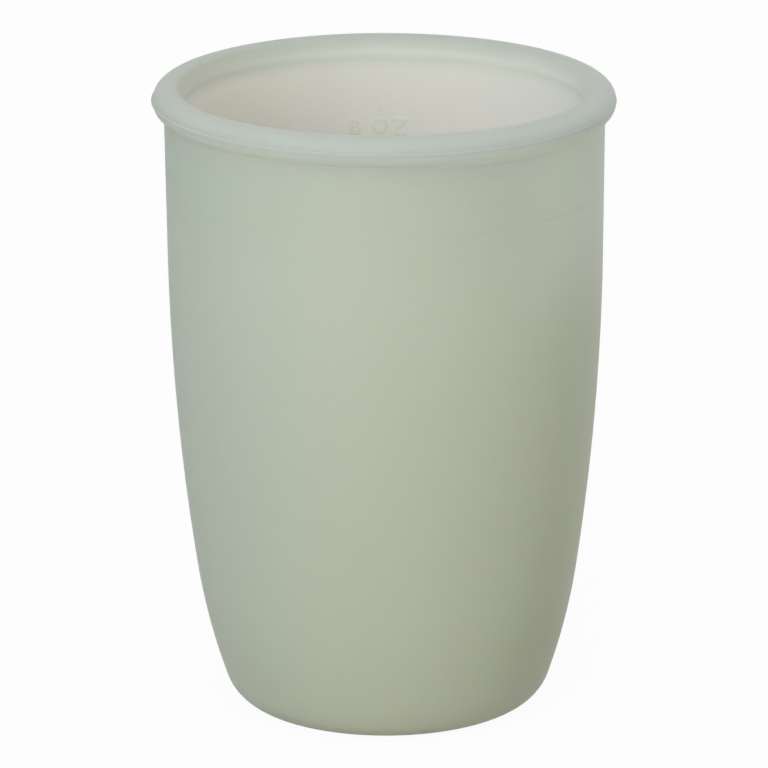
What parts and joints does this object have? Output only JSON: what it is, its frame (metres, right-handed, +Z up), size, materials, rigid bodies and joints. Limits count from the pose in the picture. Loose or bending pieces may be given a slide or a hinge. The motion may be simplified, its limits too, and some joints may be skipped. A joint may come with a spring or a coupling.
{
  "type": "silicone cup",
  "caption": "Soft silicone cup with a flat foot, tapering wall, round rim bead and raised volume marks inside, for measuring and pouring.",
  "frame": {"origin": "middle of the flat foot, on the surface that the cup stands on", "axes": "+Z up along the cup's axis; +Y through the middle of the raised marks, which are read from -Y"},
  "size_m": [0.0738, 0.0738, 0.102],
  "materials": {
    "silicone": "satin, slightly translucent"
  },
  "bodies": {
    "root": {"floor": "silicone", "heel": "silicone", "lower_wall": "silicone", "middle_wall": "silicone", "upper_wall": "silicone", "rim_bead": "silicone", "mark_2oz_numeral_2": "silicone", "mark_2oz_letter_O": "silicone", "mark_2oz_letter_Z": "silicone", "mark_2oz_line": "silicone", "mark_4oz_numeral_4": "silicone", "mark_4oz_letter_O": "silicone", "mark_4oz_letter_Z": "silicone", "mark_4oz_line": "silicone", "mark_6oz_numeral_6": "silicone", "mark_6oz_letter_O": "silicone", "mark_6oz_letter_Z": "silicone", "mark_6oz_line": "silicone", "mark_8oz_numeral_8": "silicone", "mark_8oz_letter_O": "silicone", "mark_8oz_letter_Z": "silicone", "mark_8oz_line": "silicone", "mark_1cup_numeral_1": "silicone"}
  },
  "joints": []
}
